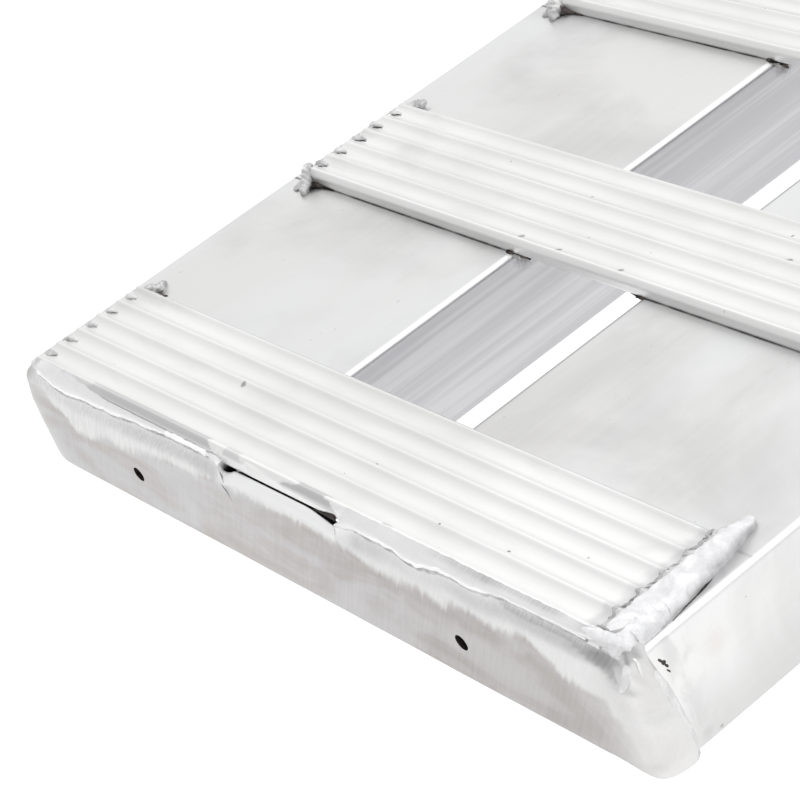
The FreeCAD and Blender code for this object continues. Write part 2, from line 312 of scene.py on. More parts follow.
def rail_metal(name, first_rung_y):
    """Mill finish with scratched inner walls darkened as painted shade, soot beside the rungs, painted shade
    along the rungs' edges and down the right side, and painted highlights on the top edges.
    """
    p = Paint(name)
    color, bands, normal = mill_finish(p)
    inner = WIDTH / 2 - RAIL_IN
    across = p.math("ABSOLUTE", p.axis(0))
    scratches = p.noise(330, (1, 0.015, 1), detail=3)
    # Inner walls: the scratches are the metal's own, and their darker tone is painted shade of the gap between
    # the rails
    wall_scratch_and_shade_color = p.mix(p.remap(scratches, 0.42, 0.62), (0.49, 0.485, 0.505), (0.59, 0.59, 0.605))
    color = p.tint(color, wall_scratch_and_shade_color, p.ramp(across, inner + 1.2, inner + 0.3), 0.85)
    folded = near_rungs(p, first_rung_y)
    soot_places = ((inner, 3.5, -3, 5.5), (WIDTH / 2 - 16, -1, 0, 4.5),
                   (WIDTH / 2 - 15, RUNG_DEPTH + 2.5, 0, 4))
    for x, y, z, radius in soot_places:
        color = p.tint(color, (0.16, 0.15, 0.15), p.spot((x, y, TOP + z), radius, 0.1, folded), 0.75)
    y_folded = p.node_out("ShaderNodeSeparateXYZ", folded, 1)
    on_deck = p.ramp(p.axis(2), TOP - 1.2, TOP - 0.4)
    # Painted shade: dark lines on the rail tops along each rung's front and back edges, where the rungs sit on
    # the rails, broken up by noise
    crease_shade_breakup = p.remap(p.noise(90, (1, 0.3, 1), detail=4), 0.35, 0.6, 0.35, 1)
    for edge, width, depth in ((0, 0.7, 0.9), (RUNG_DEPTH, 0.8, 0.45)):
        near = p.math("ABSOLUTE", p.math("SUBTRACT", y_folded, edge * MM))
        color = p.tint(color, (0.16, 0.15, 0.165), p.ramp(near, width, 0.2), on_deck, crease_shade_breakup, depth)
    x = p.axis(0)
    # Painted shade: a dark line along the right rail's rounded inner top corner
    corner = p.product(p.ramp(x, inner + 0.2, inner + 0.9), p.ramp(x, inner + 2.6, inner + 1.7))
    color = p.tint(color, (0.34, 0.34, 0.35), corner, on_deck, 0.6)
    # Painted highlight: the rounded top edges, the outer ones and the left rail's inner one, lighter and less
    # metallic
    outer_arc = p.ramp(across, WIDTH / 2 - 1.7, WIDTH / 2 - 0.7)
    inner_arc = p.product(p.ramp(x, -inner - 1.7, -inner - 0.7), p.math("LESS_THAN", x, 0))
    edge_high = p.ramp(p.axis(2), TOP - 1.7, TOP - 0.7)
    top_edge_highlight = p.product(edge_high, p.math("MAXIMUM", outer_arc, inner_arc))
    color = p.mix(top_edge_highlight, color, (0.92, 0.92, 0.915))
    p.put(p.shader.inputs["Metallic"], p.remap(top_edge_highlight, 0, 1, 1, 0.4))
    side = p.ramp(x, WIDTH / 2 - 0.6, WIDTH / 2 - 0.1)
    # Painted shade: a darker band down the right side just beside the corner weld bead, broken up by noise
    haze = p.remap(p.noise(170, (1, 1, 0.45), detail=5, distortion=0.7), 0.42, 0.62)
    from_end = p.math("SUBTRACT", p.axis(1), ORIGIN.y * MM)
    beside = p.product(p.ramp(from_end, 11, 14.5), p.ramp(from_end, 27, 15))
    color = p.tint(color, (0.42, 0.42, 0.425), beside, haze, side, 0.3)
    # Painted shade: the right side darker toward its bottom
    low_side_shade = p.ramp(p.axis(2), ORIGIN.z + 0.62 * DECK, ORIGIN.z)
    color = p.tint(color, 0.56, low_side_shade, side, 0.55)
    smudges = ((29, 25, 6, 0.22, (0.60, 0.52, 0.46)), (22, 1.6, 1, 0.7, 0.3),
               (17.5, 3, 3, 0.3, 0.4))
    for y, z, radius, depth, tone in smudges:
        smudge = p.spot((WIDTH / 2, ORIGIN.y + y, ORIGIN.z + z), radius, 0)
        color = p.tint(color, tone, smudge, depth)
    return p.finish(color, p.remap(bands, 0.3, 0.7, 0.36, 0.44), normal)


def rung_metal():
    """Bright extruded aluminium with die lines along the rung, grey scuffs and a few pits."""
    p = Paint("rung metal", metallic=0.85)
    lines = p.noise(700, (0.03, 1, 1), detail=4)
    scuffs = p.noise(60, (0.35, 1, 1), detail=5, distortion=0.4)
    cloud = p.noise(9, detail=3)
    pits = p.noise(420, detail=0)
    color = p.mix(p.remap(cloud, 0.35, 0.65), (0.80, 0.798, 0.79), (0.86, 0.86, 0.855))
    ends = p.remap(p.math("ABSOLUTE", p.axis(0)), 0.09, 0.14)
    toward_ends = p.math("MULTIPLY_ADD", ends, 0.75, 0.25)
    color = p.tint(color, (0.66, 0.66, 0.655), p.remap(scuffs, 0.5, 0.72, 0, 0.55), toward_ends)
    color = p.mix(p.remap(pits, 0.885, 0.90, 0, 0.8), color, 0.2)
    for x, y in ((99, 28.5), (124, 123.4), (143, 122.6), (172, 123), (220, 148)):
        pit = p.spot((ORIGIN.x + x, ORIGIN.y + y, TOP + RUNG_TOP - 1), 1.5, 0.4)
        color = p.tint(color, 0.25, pit, 0.75)
    # The dark attribute: the first rung's dull, un-ground front, painted shade next to its right-end bead, and
    # a darker rear slope
    color = p.tint(color, (0.52, 0.52, 0.525), p.attribute("dark"), 0.8)
    worn = p.attribute("worn")
    color = p.mix(worn, color, (0.95, 0.95, 0.945))
    rough_value = p.math("MAXIMUM", p.remap(scuffs, 0.35, 0.7, 0.36, 0.5), p.product(worn, 0.62))
    return p.finish(color, rough_value, p.bump(lines, 0.10, 0.0005))


def plate_metal():
    """End plate: a light ground zone with slanted grinder strokes over a duller, smudged face."""
    p = Paint("ground plate metal")
    ground = p.attribute("light")
    raw = p.attribute("dark")
    slanted_x = p.math("MULTIPLY_ADD", p.axis(2), -STROKE_SLANT, p.axis(0))
    slanted = p.vector(slanted_x, p.axis(1), p.axis(2))
    strokes = p.noise(900, (1, 1, 0.06), detail=4, roughness=0.7, place=slanted)
    patches = p.noise(55, (1, 1, 0.6), detail=5, distortion=0.8)
    smudge = p.noise(30, (0.7, 1, 1.8), detail=6, distortion=1.2)
    streaks = p.noise(60, (0.25, 1, 2.5), detail=4, distortion=0.5)
    dull = p.mix(p.remap(smudge, 0.38, 0.66), (0.67, 0.665, 0.675), (0.575, 0.548, 0.532))
    dull = p.mix(p.remap(streaks, 0.45, 0.7, 0, 0.55), dull, (0.70, 0.695, 0.695))
    darker = p.remap(p.axis(0), -0.06, 0.10, 0.1, 0.95)
    dull = p.tint(dull, (0.45, 0.424, 0.412), darker, p.remap(smudge, 0.3, 0.7, 0.5, 1))
    bright = p.mix(p.remap(strokes, 0.35, 0.65), 0.78, (0.89, 0.89, 0.885))
    bright = p.mix(p.remap(patches, 0.5, 0.7, 0, 0.3), bright, 0.72)
    bright = p.mix(p.remap(p.axis(0), -0.06, 0.06, 0, 0.4), bright, 0.68)
    color = p.mix(p.math("MINIMUM", ground, 1), dull, bright)
    # Where light is over 1, on the ground weld's top and its front lip, the face is lighter and less metallic:
    # the ground finish, with a painted highlight along the lip
    color = p.mix(p.remap(ground, 1, 2, 0, 0.9), color, (0.84, 0.84, 0.845))
    comb = p.noise(2400, (1, 0.02, 0.02), detail=1, place=slanted)
    teeth = p.remap(comb, 0.40, 0.60, 0.6, 1)
    # The dark attribute holds grinder-comb marks and a dark bottom edge, and painted shade: a grey line under
    # the lip, the hollow's shade by the right corner, and black inside the slot
    color = p.tint(color, (0.40, 0.40, 0.405), p.remap(raw, 0, 0.6, 0, 0.8), teeth)
    color = p.mix(p.remap(raw, 0.6, 0.95), color, (0.012, 0.011, 0.011))
    p.put(p.shader.inputs["Metallic"], p.remap(ground, 1, 2, 1, 0.5))
    rough_value = p.math("ADD", p.remap(strokes, 0.3, 0.7, 0.38, 0.52), p.remap(ground, 1, 2, 0, 0.16))
    normal = p.bump(p.product(strokes, p.remap(ground, 0, 1, 0.1, 0.8)), 0.2, 0.0005)
    return p.finish(color, rough_value, p.bump(patches, 0.08, 0.002, normal))


def weld_metal(name, color_low, color_high, gloss, grain, metallic=1):
    """Clouded, grainy metal; gloss is the lowest roughness and grain the depth of the bump."""
    p = Paint(name, metallic)
    cloud = p.noise(160, detail=5, distortion=0.6)
    fine = p.noise(1400, detail=3)
    color = p.mix(p.remap(cloud, 0.35, 0.65), color_low, color_high)
    rough_value = p.remap(fine, 0.3, 0.7, gloss, gloss + 0.14)
    return p.finish(color, rough_value, p.bump(fine, grain, 0.0003))


def steel_metal():
    p = Paint("plated steel")
    cloud = p.noise(300, detail=4)
    color = p.mix(p.remap(cloud, 0.3, 0.7), (0.50, 0.505, 0.52), (0.66, 0.66, 0.65))
    return p.finish(color, p.remap(cloud, 0.3, 0.7, 0.26, 0.4), p.bump(cloud, 0.06, 0.0002))


def rubber():
    p = Paint("black rubber", metallic=0)
    grain = p.noise(1800, detail=3)
    dust = p.noise(70, detail=5)
    color = p.mix(p.remap(dust, 0.45, 0.75), (0.02, 0.02, 0.021), (0.07, 0.068, 0.065))
    return p.finish(color, p.remap(grain, 0.3, 0.7, 0.62, 0.85), p.bump(grain, 0.3, 0.0003))


LOWER_RAIL = rail_metal("lower rail metal", rung_low.y * MM)
UPPER_RAIL = rail_metal("upper rail metal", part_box("upper_rung_01")[0].y)
LIP_METAL = lip_metal()
RUNG_METAL = rung_metal()
PLATE_METAL = plate_metal()
RAW_WELD = weld_metal("raw weld", (0.52, 0.52, 0.53), (0.80, 0.795, 0.79), 0.42, 0.4, 0.85)
GROUND_WELD = weld_metal("ground weld", (0.66, 0.66, 0.67), (0.80, 0.80, 0.81), 0.6, 0.8, 0.5)
PLATE_WELD = weld_metal("plate weld", 0.70, 0.80, 0.58, 0.5, 0.7)
# A bright, little-metallic weld for the lip ribbon, a painted highlight, and a grey one for the bead under it,
# a painted shadow
LIP_HIGHLIGHT_WELD = weld_metal("lip highlight weld", 0.84, 0.91, 0.66, 0.4, 0.3)
LIP_SHADOW_WELD = weld_metal("lip shadow weld", 0.46, 0.70, 0.58, 0.5, 0.7)
TORN_WELD = weld_metal("torn weld", 0.30, 0.60, 0.6, 0.5, 0.6)
DULL_WELD = weld_metal("dull weld", (0.34, 0.335, 0.33), (0.58, 0.575, 0.57), 0.5, 0.4)
SOOT_WELD = weld_metal("sooty weld", (0.03, 0.026, 0.024), (0.16, 0.14, 0.13), 0.5, 0.4)
# Near-black material for the painted shadow at the slot's right end
SLOT_END_SHADOW = weld_metal("slot end shadow", (0.012, 0.010, 0.010), (0.04, 0.03, 0.028), 0.6, 0.3, 0.4)
STEEL = steel_metal()
RUBBER = rubber()


# ---- rungs

def rung_section():
    """Loop of (y, z) round the rung's section, from its front bottom edge, with softened ridges."""
    slope = (RUNG_DEPTH - RIDGE_GAPS * RIDGE) / 2
    radius = (RIDGE * RIDGE / 4 + SCALLOP * SCALLOP) / (2 * SCALLOP)

    def raw(y):
        if y < slope:
            return RUNG_EDGE + (RUNG_TOP - RUNG_EDGE) * max(0, y) / slope
        if y > RUNG_DEPTH - slope:
            return raw(RUNG_DEPTH - y)
        along = (y - slope) % RIDGE - RIDGE / 2
        return RUNG_TOP - SCALLOP + radius - math.sqrt(radius * radius - along * along)

    def soft(y):
        near = [raw(min(RUNG_DEPTH, max(0, y + step * 0.12))) for step in range(-3, 4)]
        return sum(near) / len(near)

    steps = 16
    loop = [(0.25, 0), (0, 0.25), (0, 0.9), (0, 1.7), (0, 2.5), (0, RUNG_EDGE - 0.25)]
    loop += [(0.12 + slope * k / 4, soft(0.12 + slope * k / 4)) for k in range(4)]
    for k in range(RIDGE_GAPS * steps + 1):
        y = slope + k * RIDGE / steps
        loop.append((y, soft(y)))
    loop += [(RUNG_DEPTH - y, z) for y, z in reversed(loop[6:10])]
    loop += [(RUNG_DEPTH, RUNG_EDGE - 0.25), (RUNG_DEPTH, 0.25), (RUNG_DEPTH - 0.25, 0)]
    return loop


RUNG_LOOP = rung_section()
# The first rung's dull front, along x: its upper and lower edges as heights above the rails, how slowly it
# fades in above the lower edge, and how dark it is
DULL_EDGE = curve([(0, 0), (33, 0), (40, 3.6), (50, 5.8), (112, 5.8), (117, 3.4), (119, 0.8), (121, 3),
                   (123.5, 5.8), (129.5, 5.8), (132, 3.8), (134, 1), (144, 1.8), (150, 3.2), (157, 4.6),
                   (164, 5.6), (172, 5.6), (176, 5), (179, 3.6), (181, 2), (185, 1), (192, 1),
                   (197, 3.6), (203, 5.4), (210, 2), (222, 0.8), (229, 0.4)])
DULL_FOOT = curve([(0, -2), (120, -2), (133, -1), (146, 2), (158, 1), (175, 0.6), (184, 0.6), (190, -2)])
DULL_FADE = curve([(120, 0.3), (146, 2.2), (180, 2.2), (190, 0.3)])
DULL_DEPTH = curve([(33, 0), (41, 0.3), (54, 0.85), (115, 0.85), (121, 0.55), (132, 0.55), (150, 0.9),
                    (182, 0.9), (195, 0.8)])


def rung_paint(x, y, z, first):
    """How dark and how worn a rung is, each from 0 to 1, where dark holds the first rung's dull front and
    painted shade; y and z count from its front bottom edge.
    """
    dull = 0
    if first and y < 3:
        edge = DULL_EDGE(x) + 0.35 * rough(x, 0, 0, 2.2, 13)
        foot = DULL_FOOT(x) + 0.3 * rough(x, 0, 0, 2, 15)
        dull = (1 - smooth(edge - 0.3, edge + 0.3, z)) * smooth(0.2, 0.6, edge)
        dull *= DULL_DEPTH(x) * smooth(foot - 0.3, foot + DULL_FADE(x), z)
    if first:
        # Painted shade: the first rung's scallops darken next to the bead over its right end
        dull = max(dull, 0.7 * smooth(286.5, 291.5, x + 2.5 * rough(x, y, z, 3, 19)))
    # Every rung darker along its rear slope
    dull = max(dull, 0.45 * smooth(RUNG_DEPTH - 1.5, RUNG_DEPTH - 0.9, y))
    bare = smooth(46, 52, x) if first else 0.6
    return dull, bare * (1 - dull) * (1 - smooth(1.2, 3.4, y))


def make_rung(node):
    low, high = (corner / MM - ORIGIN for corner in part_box(node))
    seed = low.y * 0.37
    first = node == "lower_rung_01"
    count = 360 if first else 36
    rows = []
    paint = []
    for i in range(count + 1):
        t = i / count
        if not first:
            t = 0.5 - 0.5 * math.cos(math.pi * t)
        x = low.x + (high.x - low.x) * t
        end = 1 if i in (0, count) else 0
        line = []
        for y, z in RUNG_LOOP:
            dent = 0.05 * rough(x, y, z, 14, seed) if z > RUNG_EDGE else 0
            ragged = end * 0.25 * rough(0, y, z, 3, seed + x)
            if first and y < 1 and z > 0.3:
                y += (1.3 - 1.1 * smooth(0.5, 2.5, DULL_EDGE(x))) * smooth(0.2, 4.2, z) * (1 - y)
            line.append(row((x + ragged, low.y + y, low.z + z + dent)))
            paint.append(rung_paint(x, y, z, first))
        rows.append(line)
    verts = [point for line in rows for point in line]
    piece = make_piece(node + "_ribbed", verts, skin(rows), [RUNG_METAL], NODES[node]["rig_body"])
    keep_values(piece, "dark", [dull for dull, _ in paint])
    keep_values(piece, "worn", [worn for _, worn in paint])
    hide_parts(node)


RUNG_NODES = sorted(name for name in NODES if "_rung_" in name)
for node in RUNG_NODES:
    make_rung(node)


# ---- weld beads

def between(points, i, t):
    """Place on the smooth line through points, t of the way from number i to the next."""
    p0, p1, p2, p3 = (points[min(len(points) - 1, max(0, i + k))] for k in (-1, 0, 1, 2))
    return tuple(0.5 * (2 * b + (c - a) * t + (2 * a - 5 * b + 4 * c - d) * t * t
                        + (3 * b - a - 3 * c + d) * t ** 3) for a, b, c, d in zip(p0, p1, p2, p3))


def spline(points, step):
    """Points about step apart on a smooth line through the given ones, with any extra values."""
    out = []
    for i in range(len(points) - 1):
        parts = max(1, round(math.dist(points[i][:3], points[i + 1][:3]) / step))
        out += [between(points, i, k / parts) for k in range(parts)]
    return out + [tuple(points[-1])]


class Welds:
    """Weld beads gathered into one piece."""

    def __init__(self, name, body):
        self.name = name
        self.body = body
        self.verts = []
        self.faces = []
        self.materials = []
        self.material_of = []

    def bead(self, points, material, ripple, depth, lump, step=0.7, sides=16, seed=0, up=(0, 0, 1), square=1):
        """A bead through points of (x, y, z, width, height).

        ripple is the distance between the puddle's ripples and depth their depth. lump is how uneven the bead
        is. step and sides set the mesh. square over 1 flattens the top, as grinding does.
        """
        line = spline(points, step)
        up = Vector(up).normalized()
        lengths = [0]
        for a, b in zip(line, line[1:]):
            lengths.append(lengths[-1] + math.dist(a[:3], b[:3]))
        total = lengths[-1]
        rows = []
        for i, (x, y, z, width, height) in enumerate(line):
            before = Vector(line[max(0, i - 1)][:3])
            after = Vector(line[min(len(line) - 1, i + 1)][:3])
            tangent = (after - before).normalized()
            side = tangent.cross(up).normalized()
            lift = side.cross(tangent).normalized()
            end = min(1, min(lengths[i], total - lengths[i]) / max(0.2, width / 2))
            taper = math.sqrt(max(0, 1 - (1 - end) ** 2)) * 0.96 + 0.04
            loop = []
            for j in range(sides):
                angle = 2 * math.pi * j / sides
                c, s = math.cos(angle), math.sin(angle)
                across = math.copysign(abs(c) ** (1 / square), c)
                rise = math.copysign(abs(s) ** (1 / square), s)
                wave = 1 + depth * (abs(math.sin(math.pi * (lengths[i] / ripple + 0.35 * c * c))) - 0.6)
                wave += lump * rough(x + 5 * c, y + 5 * s, z, 4, seed)
                wave += lump * 0.6 * rough(x, y + 3 * c, z + 3 * s, 1.6, seed + 9)
                shift = side * (across * width / 2 * taper * wave) + lift * (rise * height * taper * wave)
                loop.append(row(Vector((x, y, z)) + shift))
            rows.append(loop)
        faces = skin(rows, len(self.verts))
        self.verts += [point for loop in rows for point in loop]
        self.faces += faces
        if material not in self.materials:
            self.materials.append(material)
        self.material_of += [self.materials.index(material)] * len(faces)

    def finish(self):
        return make_piece(self.name, self.verts, self.faces, self.materials, self.body,
                          self.material_of)


def rung_end_welds(welds, front, first, out, seed):
    """Beads at one end of a rung, lumps at its corners, tongues in its scallops and spots on the rail's edge.

    front is the rung's front in y, and out is -1 at the left end and 1 at the right.
    """
    def lay(material, seed_step, ripple, depth, lump, step, sides, *places, square=1):
        """A bead through places of (inward from the deck's edge, along from the rung's front, height above
        the rails, width, thickness)."""
        points = []
        for inward, along, height, width, thick in places:
            x = inward if out < 0 else WIDTH - inward
            jitter = 0.35 * rough(inward, along, 0, 3, seed)
            scale = 1 + 0.3 * rough(inward, along, 5, 9, seed)
            points.append((x + jitter, front + along, DECK + height, width * scale, thick * scale))
        welds.bead(points, material, ripple, depth, lump, step, sides, seed + seed_step, square=square)

    if first:
        lay(GROUND_WELD, 2, 4, 0.03, 0.08, 0.7, 24, (9.2, 3.2, 0.6, 3.4, 1.6), (8.6, 5, 0.1, 4.4, 1.9),
            (7.6, 8, 0, 5.2, 2), (7.6, 11, 0, 5, 2.1), (8.2, 15, 0, 4.4, 2.3),
            (9.2, 21, 0, 3.6, 2.6), square=1.2)
    side = []
    for k in range(RIDGE_GAPS * 4 + 1):
        along = 0.8 + (RUNG_DEPTH - 1.6) * k / (RIDGE_GAPS * 4)
        fill = 0.5 - 0.5 * math.cos(2 * math.pi * (along - 1.75) / RIDGE)
        side.append((9.7, along, 0.2, 4.4 + fill, (2.6 if first else 3.6) + 0.5 * fill))
    lay(RAW_WELD, 0, 2.6, 0.10, 0.3, 0.7, 16, *side)
    for k in range(RIDGE_GAPS):
        y = 1.75 + RIDGE * (k + 0.5)
        reach = 3 + 2.5 * abs(rough(k, 0, 0, 1.3, seed + 4))
        lay(RAW_WELD, k, 1.7, 0.2, 0.5, 0.5, 12, (9.4, y - 0.5, 3.2, 3, 1.3), (11.8, y, 4.1, 2.6, 0.9),
            (11.8 + reach, y + 0.5, 4.1, 0.8, 0.3))
        # Dark flecks beside each tongue: painted shade of the tongue in its scallop
        for shade_fleck, length in ((-1.5, 0.5), (-0.7, 0.9), (0.4, 0.4)):
            lay(DULL_WELD if first else SOOT_WELD, k + 20 + shade_fleck, 1.2, 0.2, 0.7, 0.4, 8,
                (11.6, y + shade_fleck, 4.2, 0.3, 0.12), (12.6, y + shade_fleck + 0.2, 4.1, 0.55, 0.18),
                (12.8 + length * reach, y + shade_fleck + 0.5, 4.02, 0.2, 0.06))
    if not first:
        lay(RAW_WELD, 5, 2, 0.22, 0.5, 0.5, 16, (15, -6.8, 0.2, 2.4, 0.8), (13.4, -4, 1.2, 4, 2.2),
            (11.8, -1, 3, 4.4, 2.8), (10.4, 1.6, 4.8, 3.4, 1.8), (9.8, 3.6, 5.4, 2, 0.7))
        lay(RAW_WELD, 6, 2, 0.15, 0.4, 0.5, 16, (8.4, -6, 0, 2, 0.6), (9.6, -2.6, 0.4, 4, 1.6),
            (9.4, 1, 0.8, 4, 2.2))
        lay(SOOT_WELD, 8, 2, 0.1, 0.4, 0.5, 10, (13.6, -1.8, 0.3, 2.2, 1), (15.6, -0.9, 0.5, 2.4, 1.2),
            (18.5, -0.4, 0.3, 1.2, 0.7), (25, -0.05, 0.1, 0.4, 0.2))
        edge = RAIL_IN
        if out < 0:
            lay(SOOT_WELD, 11, 1.6, 0.3, 0.9, 0.4, 12, (edge - 3, -0.3, 0.1, 1, 0.5),
                (edge - 0.9, 0.3, -0.1, 2.4, 1.1), (edge + 0.6, 2, -1.5, 2.6, 1.3),
                (edge + 0.5, 3.8, -3.4, 1.5, 0.8), (edge + 0.2, 4.8, -5.6, 0.7, 0.3))
            lay(DULL_WELD, 13, 1.2, 0.3, 0.8, 0.4, 10, (edge + 0.1, -0.4, -0.4, 0.7, 0.4),
                (edge + 0.9, 0.4, -1.6, 1.2, 0.6), (edge + 1, 1.4, -3, 0.6, 0.3))
        else:
            lay(SOOT_WELD, 11, 1.6, 0.3, 0.8, 0.4, 10, (edge - 2, -0.1, 0.1, 0.6, 0.3),
                (edge + 0.4, 0.1, -0.1, 1.2, 0.6), (edge + 3, 0.4, -0.1, 0.9, 0.5),
                (edge + 6, 0.6, 0, 0.4, 0.2))
    back = RUNG_DEPTH
    lay(RAW_WELD, 7, 2, 0.2, 0.5, 0.5, 16, (13.4, back - 2.2, 4, 2.2, 0.9), (12.8, back + 0.6, 2.6, 3.8, 1.9),
        (11.6, back + 4.4, 0.8, 3.6, 1.7), (9.8, back + 8.4, 0, 2, 0.8))
    lay(RAW_WELD, 15, 1.6, 0.2, 0.5, 0.4, 12, (14.6, back - 0.2, 1.8, 1.6, 1),
        (16.8, back + 0.9, 0.6, 2.2, 1.1), (19.4, back + 1.2, 0.1, 0.9, 0.4))
    lay(SOOT_WELD, 17, 1.2, 0.2, 0.6, 0.4, 8, (14.2, back + 2.2, 0.6, 0.9, 0.5),
        (15.2, back + 1.8, 0.5, 1.2, 0.6), (17, back + 2.6, 0.1, 0.7, 0.3), (18.6, back + 3.4, 0, 0.4, 0.2))


for number, node in enumerate(RUNG_NODES):
    rung_piece = Welds(node + "_welds", NODES[node]["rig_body"])
    is_first = node == "lower_rung_01"
    for out in (-1,) if is_first else (-1, 1):
        rung_end_welds(rung_piece, (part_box(node)[0] / MM - ORIGIN).y, is_first, out, number * 1.7 + 3.1 * out)
    rung_piece.finish()


# ---- ground end

# The ground end along x: top of the dull face, the weld's front edge (how far back, how high), the top of the
# ground weld above the rails, and the lower edge of the hollow's painted shade at the right
LIGHT_ZONE = curve([(0, 40), (8, 38), (18, 28), (28, 19), (43, 23.5), (58, 24.5), (76, 27.5), (92, 29),
                    (116, 31), (150, 31), (180, 30), (206, 27), (217, 28), (225, 26), (230, 29.5),
                    (253, 29.8), (264, 31), (270, 27.5), (276, 23.5), (290, 22), (296, 14), (299, 2),
                    (305, -8)])
LIP_BACK = curve([(0, 1), (30, 0.9), (48, 1.2), (75, 1.9), (117, 2.1), (184, 2), (196, 1.5), (206, 1.1),
                  (213, 0.8), (219, 0.8), (229, 1.2), (243, 1.5), (258, 1.9), (280, 2.1), (291, 2.4)])
LIP_HIGH = curve([(0, 43.4), (10, 43), (14, 40.6), (17, 38.9), (23, 37), (28, 36.2), (42, 37.3), (58, 37.6),
                  (77, 38.2), (89, 39.1), (103, 39.5), (119, 38.6), (184, 38.2), (196, 38.8), (206, 39.6),
                  (213, 38.4), (219, 38), (229, 40), (243, 38.8), (258, 40.6), (280, 40.6), (291, 39.4)])
BAND_TOP = curve([(0, 5.3), (32, 5.35), (48, 3.4), (58, 2.6), (80, 2.4), (112, 1.6), (117, 2.4), (120, 1.2),
                  (122, 0.4), (181, 0.4), (185, 5.35), (290, 5.35)])
HOLLOW_EDGE = curve([(240, 43), (254, 41), (264, 38.4), (284, 39), (292, 35.6), (297, 33), (300.5, 31),
                     (304, 38)])
SLOT_LEFT = 121
SLOT_RIGHT = 180
BOTTOM_EDGE = 0.6
FACE_LEVELS = 44
CORNER = 22


def zone_light(x, z):
    """1 where the face was ground bright, 0 where it was left dull."""
    across = x - STROKE_SLANT * z
    edge = LIGHT_ZONE(x) + 2 * rough(x, 0, z, 9) + 1.8 * rough(across, 0, z * 0.1, 1.3, 4)
    return smooth(-2, 2, z - edge)


def face_point(x, z, lip_back, lip_high):
    """Y of the plate's front face: rounded bottom edge, grinding hollows and the turn up to the lip."""
    back = 0
    if z < BOTTOM_EDGE:
        back += BOTTOM_EDGE - math.sqrt(max(0, BOTTOM_EDGE ** 2 - (BOTTOM_EDGE - z) ** 2))
    light = zone_light(x, z)
    back += light * (0.10 + 0.10 * rough(x, 0, z, 12, 2)) + 0.10 * rough(x, 0, z, 30, 7)
    back += (lip_back + 0.25) * smooth(lip_high - 8, lip_high - 0.8, z)
    return back, light


def hollow(x, y, z):
    """1 over the unfilled hollow that deepens toward the right corner, where its shade is painted."""
    x += 2 * y
    z += 1.33 * y
    upper = 43.2 - 1.6 * smooth(292, 304, x)
    lower = HOLLOW_EDGE(x) + 0.5 * rough(x, 0, 0, 4, 21)
    inside = smooth(246, 262, x) * (1 - smooth(306, 307.5, x))
    return inside * smooth(-0.4, 0.4, z - lower) * smooth(-0.4, 0.4, upper - z)


def lip_height(x):
    return LIP_HIGH(x) + 0.45 * rough(x, 0, 0, 4, 3) + 0.3 * rough(x, 0, 0, 1.7, 5)


def lip_depth(x):
    return LIP_BACK(x) + 0.2 * rough(x, 0, 0, 6, 8)


